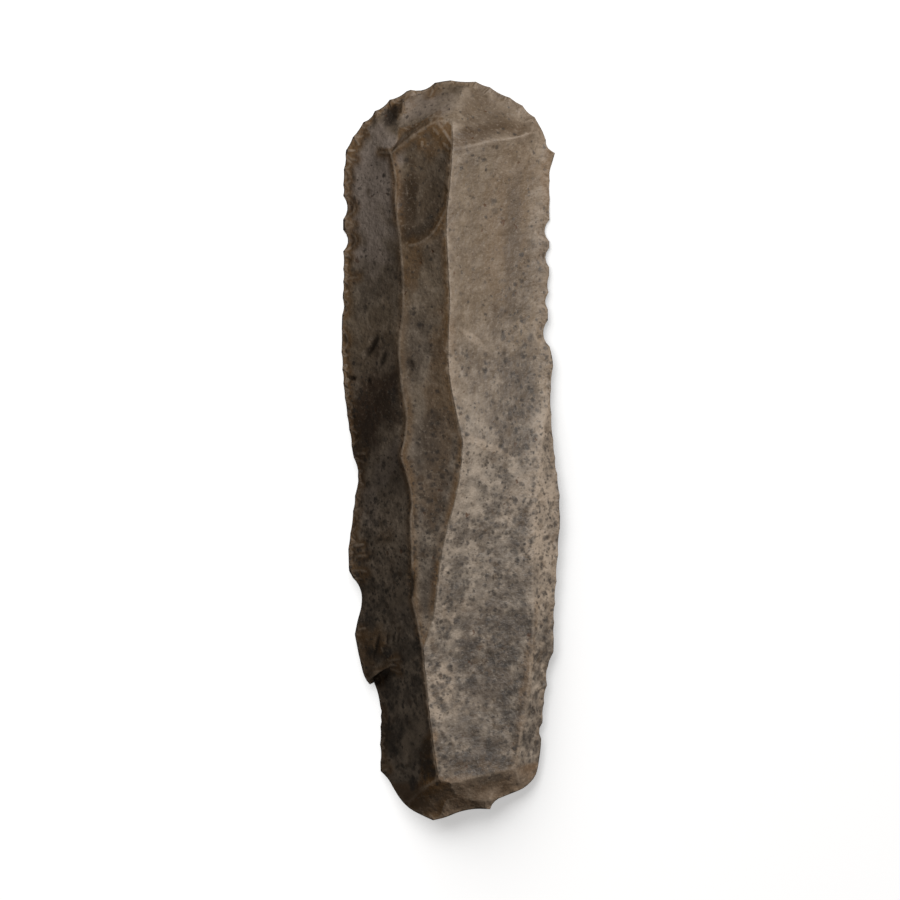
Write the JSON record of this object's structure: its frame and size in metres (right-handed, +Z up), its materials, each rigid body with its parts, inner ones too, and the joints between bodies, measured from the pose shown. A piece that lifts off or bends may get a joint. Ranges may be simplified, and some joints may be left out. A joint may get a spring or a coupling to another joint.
{
  "type": "flint blade scraper",
  "caption": "Long flint blade with a ridged, flake-scarred back, retouched sides and a rounded, steeply trimmed scraping end.",
  "frame": {"origin": "on the surface it lies on, under the middle of the blade's bounding box", "axes": "+Y along the blade to its rounded scraping end, +Z up out of the ridged back, +X to the right of the picture"},
  "size_m": [0.031, 0.105, 0.0112],
  "materials": {
    "flint": "satin"
  },
  "bodies": {
    "root": {"flint_blade": "flint"}
  },
  "joints": []
}
